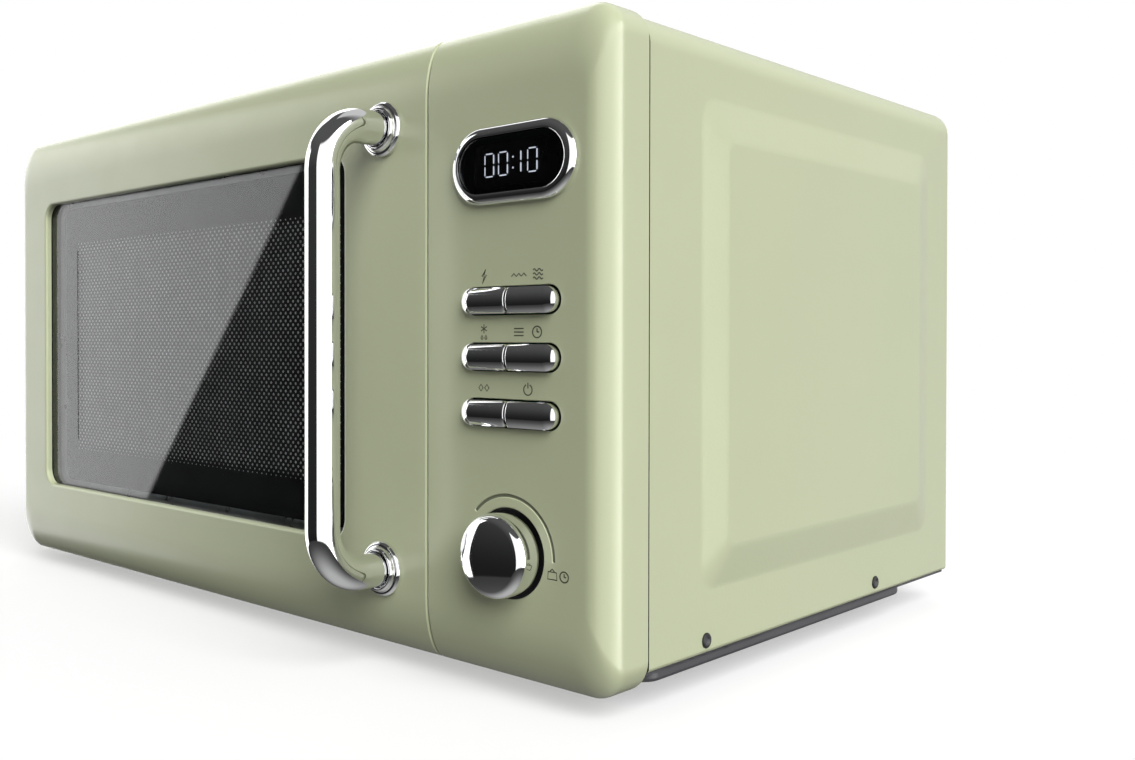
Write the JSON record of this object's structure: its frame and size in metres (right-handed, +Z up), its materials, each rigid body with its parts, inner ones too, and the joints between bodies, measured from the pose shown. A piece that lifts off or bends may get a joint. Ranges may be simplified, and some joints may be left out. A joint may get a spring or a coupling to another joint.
{
  "type": "microwave oven",
  "caption": "Countertop microwave oven with a retro chrome tube handle, hinged windowed door, glass turntable, chrome keys, round knob and digital display.",
  "frame": {"origin": "on the surface the feet stand on, at the centre of the overall width and depth", "axes": "+X to the right as seen from the front, +Y from the front to the back, +Z up"},
  "size_m": [0.451, 0.354, 0.2581],
  "materials": {
    "sage_enamel": "satin",
    "sage_plastic": "satin",
    "chrome": "polished",
    "window_glass": "polished",
    "clear_film": "polished",
    "black_screen": "satin",
    "cavity_enamel": "satin",
    "galvanised": "satin",
    "back_steel": "satin",
    "dark_steel": "satin",
    "black_plastic": "satin",
    "white_plastic": "satin",
    "display_black": "polished",
    "display_lens": "polished",
    "display_white": "lit",
    "circuit_board": "satin",
    "iron_core": "laminated",
    "can_aluminium": "brushed",
    "mica": "satin",
    "heater_tube": "heat tinted",
    "turntable_glass": "polished",
    "lamp_glass": "polished",
    "rubber": "matt"
  },
  "bodies": {
    "root": {"outer_cabinet": "sage_enamel", "base_plate": "dark_steel", "feet": "rubber", "back_panel": "back_steel", "rear_spacers": "black_plastic", "cabinet_screws": "dark_steel", "cord_gland": "black_plastic", "oven_cavity": "cavity_enamel", "hinge_upper": "galvanised", "hinge_lower": "galvanised", "waveguide": "galvanised", "waveguide_cover": "mica", "grill_element": "heater_tube", "magnetron": "galvanised", "hv_transformer": "iron_core", "hv_capacitor": "can_aluminium", "hv_diode": "black_plastic", "fan_motor": "galvanised", "fan_duct": "white_plastic", "lamp_socket": "white_plastic", "lamp_bulb": "lamp_glass", "turntable_motor": "galvanised", "interlock_bracket": "white_plastic", "door_switches": "black_plastic", "control_panel": "sage_plastic", "display_bezel": "chrome", "display_lens": "display_lens", "display_module": "display_black", "control_board": "circuit_board", "key_switches": "black_plastic", "rotary_encoder": "galvanised", "knob_ring": "black_plastic"},
    "door": {"door_shell": "sage_plastic", "window_gasket": "black_plastic", "window_glass": "window_glass", "mesh_screen": "black_screen", "inner_door_frame": "galvanised", "choke_cover": "black_plastic", "inner_film": "clear_film", "handle_tube": "chrome", "handle_rosettes": "chrome", "handle_screws": "galvanised", "hinge_bushes": "white_plastic", "latch_guides": "black_plastic", "latch_spring": "galvanised"},
    "latch": {"latch_hooks": "white_plastic"},
    "turntable": {"glass_turntable": "turntable_glass", "turntable_coupler": "white_plastic"},
    "roller_ring": {"roller_ring": "white_plastic"},
    "roller_1": {"roller_1": "white_plastic"},
    "roller_2": {"roller_2": "white_plastic"},
    "roller_3": {"roller_3": "white_plastic"},
    "fan": {"fan_blades": "white_plastic"},
    "knob": {"knob": "chrome"},
    "key_power_level": {"key_power_level": "chrome"},
    "key_grill": {"key_grill": "chrome"},
    "key_defrost": {"key_defrost": "chrome"},
    "key_clock": {"key_clock": "chrome"},
    "key_stop": {"key_stop": "chrome"},
    "key_start": {"key_start": "chrome"}
  },
  "joints": [
    {"name": "door_hinge", "type": "hinge", "parent": "root", "child": "door", "pos_m": [-0.2163, -0.11975, 0.133], "axis": [0, 0, -1], "range_deg": [0, 95]},
    {"name": "latch_lift", "type": "slide", "parent": "door", "child": "latch", "axis": [0, 0, 1], "range_m": [0, 0.003], "stiffness_N_per_m": 500, "springref_m": -0.002, "deforming": ["latch_spring"]},
    {"name": "turntable_spin", "type": "hinge", "parent": "root", "child": "turntable", "pos_m": [-0.047, 0.0203, 0.049], "axis": [0, 0, 1], "continuous": true},
    {"name": "roller_ring_spin", "type": "hinge", "parent": "root", "child": "roller_ring", "pos_m": [-0.047, 0.0203, 0.0415], "axis": [0, 0, 1], "continuous": true},
    {"name": "roller_1_spin", "type": "hinge", "parent": "roller_ring", "child": "roller_1", "pos_m": [-0.047, 0.1213, 0.0415], "axis": [0, 1, 0], "continuous": true},
    {"name": "roller_2_spin", "type": "hinge", "parent": "roller_ring", "child": "roller_2", "pos_m": [-0.13447, -0.0302, 0.0415], "axis": [-0.866, -0.5, 0], "continuous": true},
    {"name": "roller_3_spin", "type": "hinge", "parent": "roller_ring", "child": "roller_3", "pos_m": [0.04047, -0.0302, 0.0415], "axis": [0.866, -0.5, 0], "continuous": true},
    {"name": "fan_spin", "type": "hinge", "parent": "root", "child": "fan", "pos_m": [0.16478, 0.12115, 0.15], "axis": [0, 1, 0], "continuous": true},
    {"name": "knob_turn", "type": "hinge", "parent": "root", "child": "knob", "pos_m": [0.1778, -0.13685, 0.057], "axis": [0, -1, 0], "continuous": true},
    {"name": "power_level_press", "type": "slide", "parent": "root", "child": "key_power_level", "axis": [0, 1, 0], "range_m": [0, 0.0012], "stiffness_N_per_m": 900, "springref_m": -0.0008},
    {"name": "grill_press", "type": "slide", "parent": "root", "child": "key_grill", "axis": [0, 1, 0], "range_m": [0, 0.0012], "stiffness_N_per_m": 900, "springref_m": -0.0008},
    {"name": "defrost_press", "type": "slide", "parent": "root", "child": "key_defrost", "axis": [0, 1, 0], "range_m": [0, 0.0012], "stiffness_N_per_m": 900, "springref_m": -0.0008},
    {"name": "clock_press", "type": "slide", "parent": "root", "child": "key_clock", "axis": [0, 1, 0], "range_m": [0, 0.0012], "stiffness_N_per_m": 900, "springref_m": -0.0008},
    {"name": "stop_press", "type": "slide", "parent": "root", "child": "key_stop", "axis": [0, 1, 0], "range_m": [0, 0.0012], "stiffness_N_per_m": 900, "springref_m": -0.0008},
    {"name": "start_press", "type": "slide", "parent": "root", "child": "key_start", "axis": [0, 1, 0], "range_m": [0, 0.0012], "stiffness_N_per_m": 900, "springref_m": -0.0008}
  ],
  "couplings": [
    {"joint": "roller_ring_spin", "follows": "turntable_spin", "ratio": 0.5},
    {"joint": "roller_1_spin", "follows": "turntable_spin", "ratio": -7.0139},
    {"joint": "roller_2_spin", "follows": "turntable_spin", "ratio": -7.0139},
    {"joint": "roller_3_spin", "follows": "turntable_spin", "ratio": -7.0139}
  ]
}
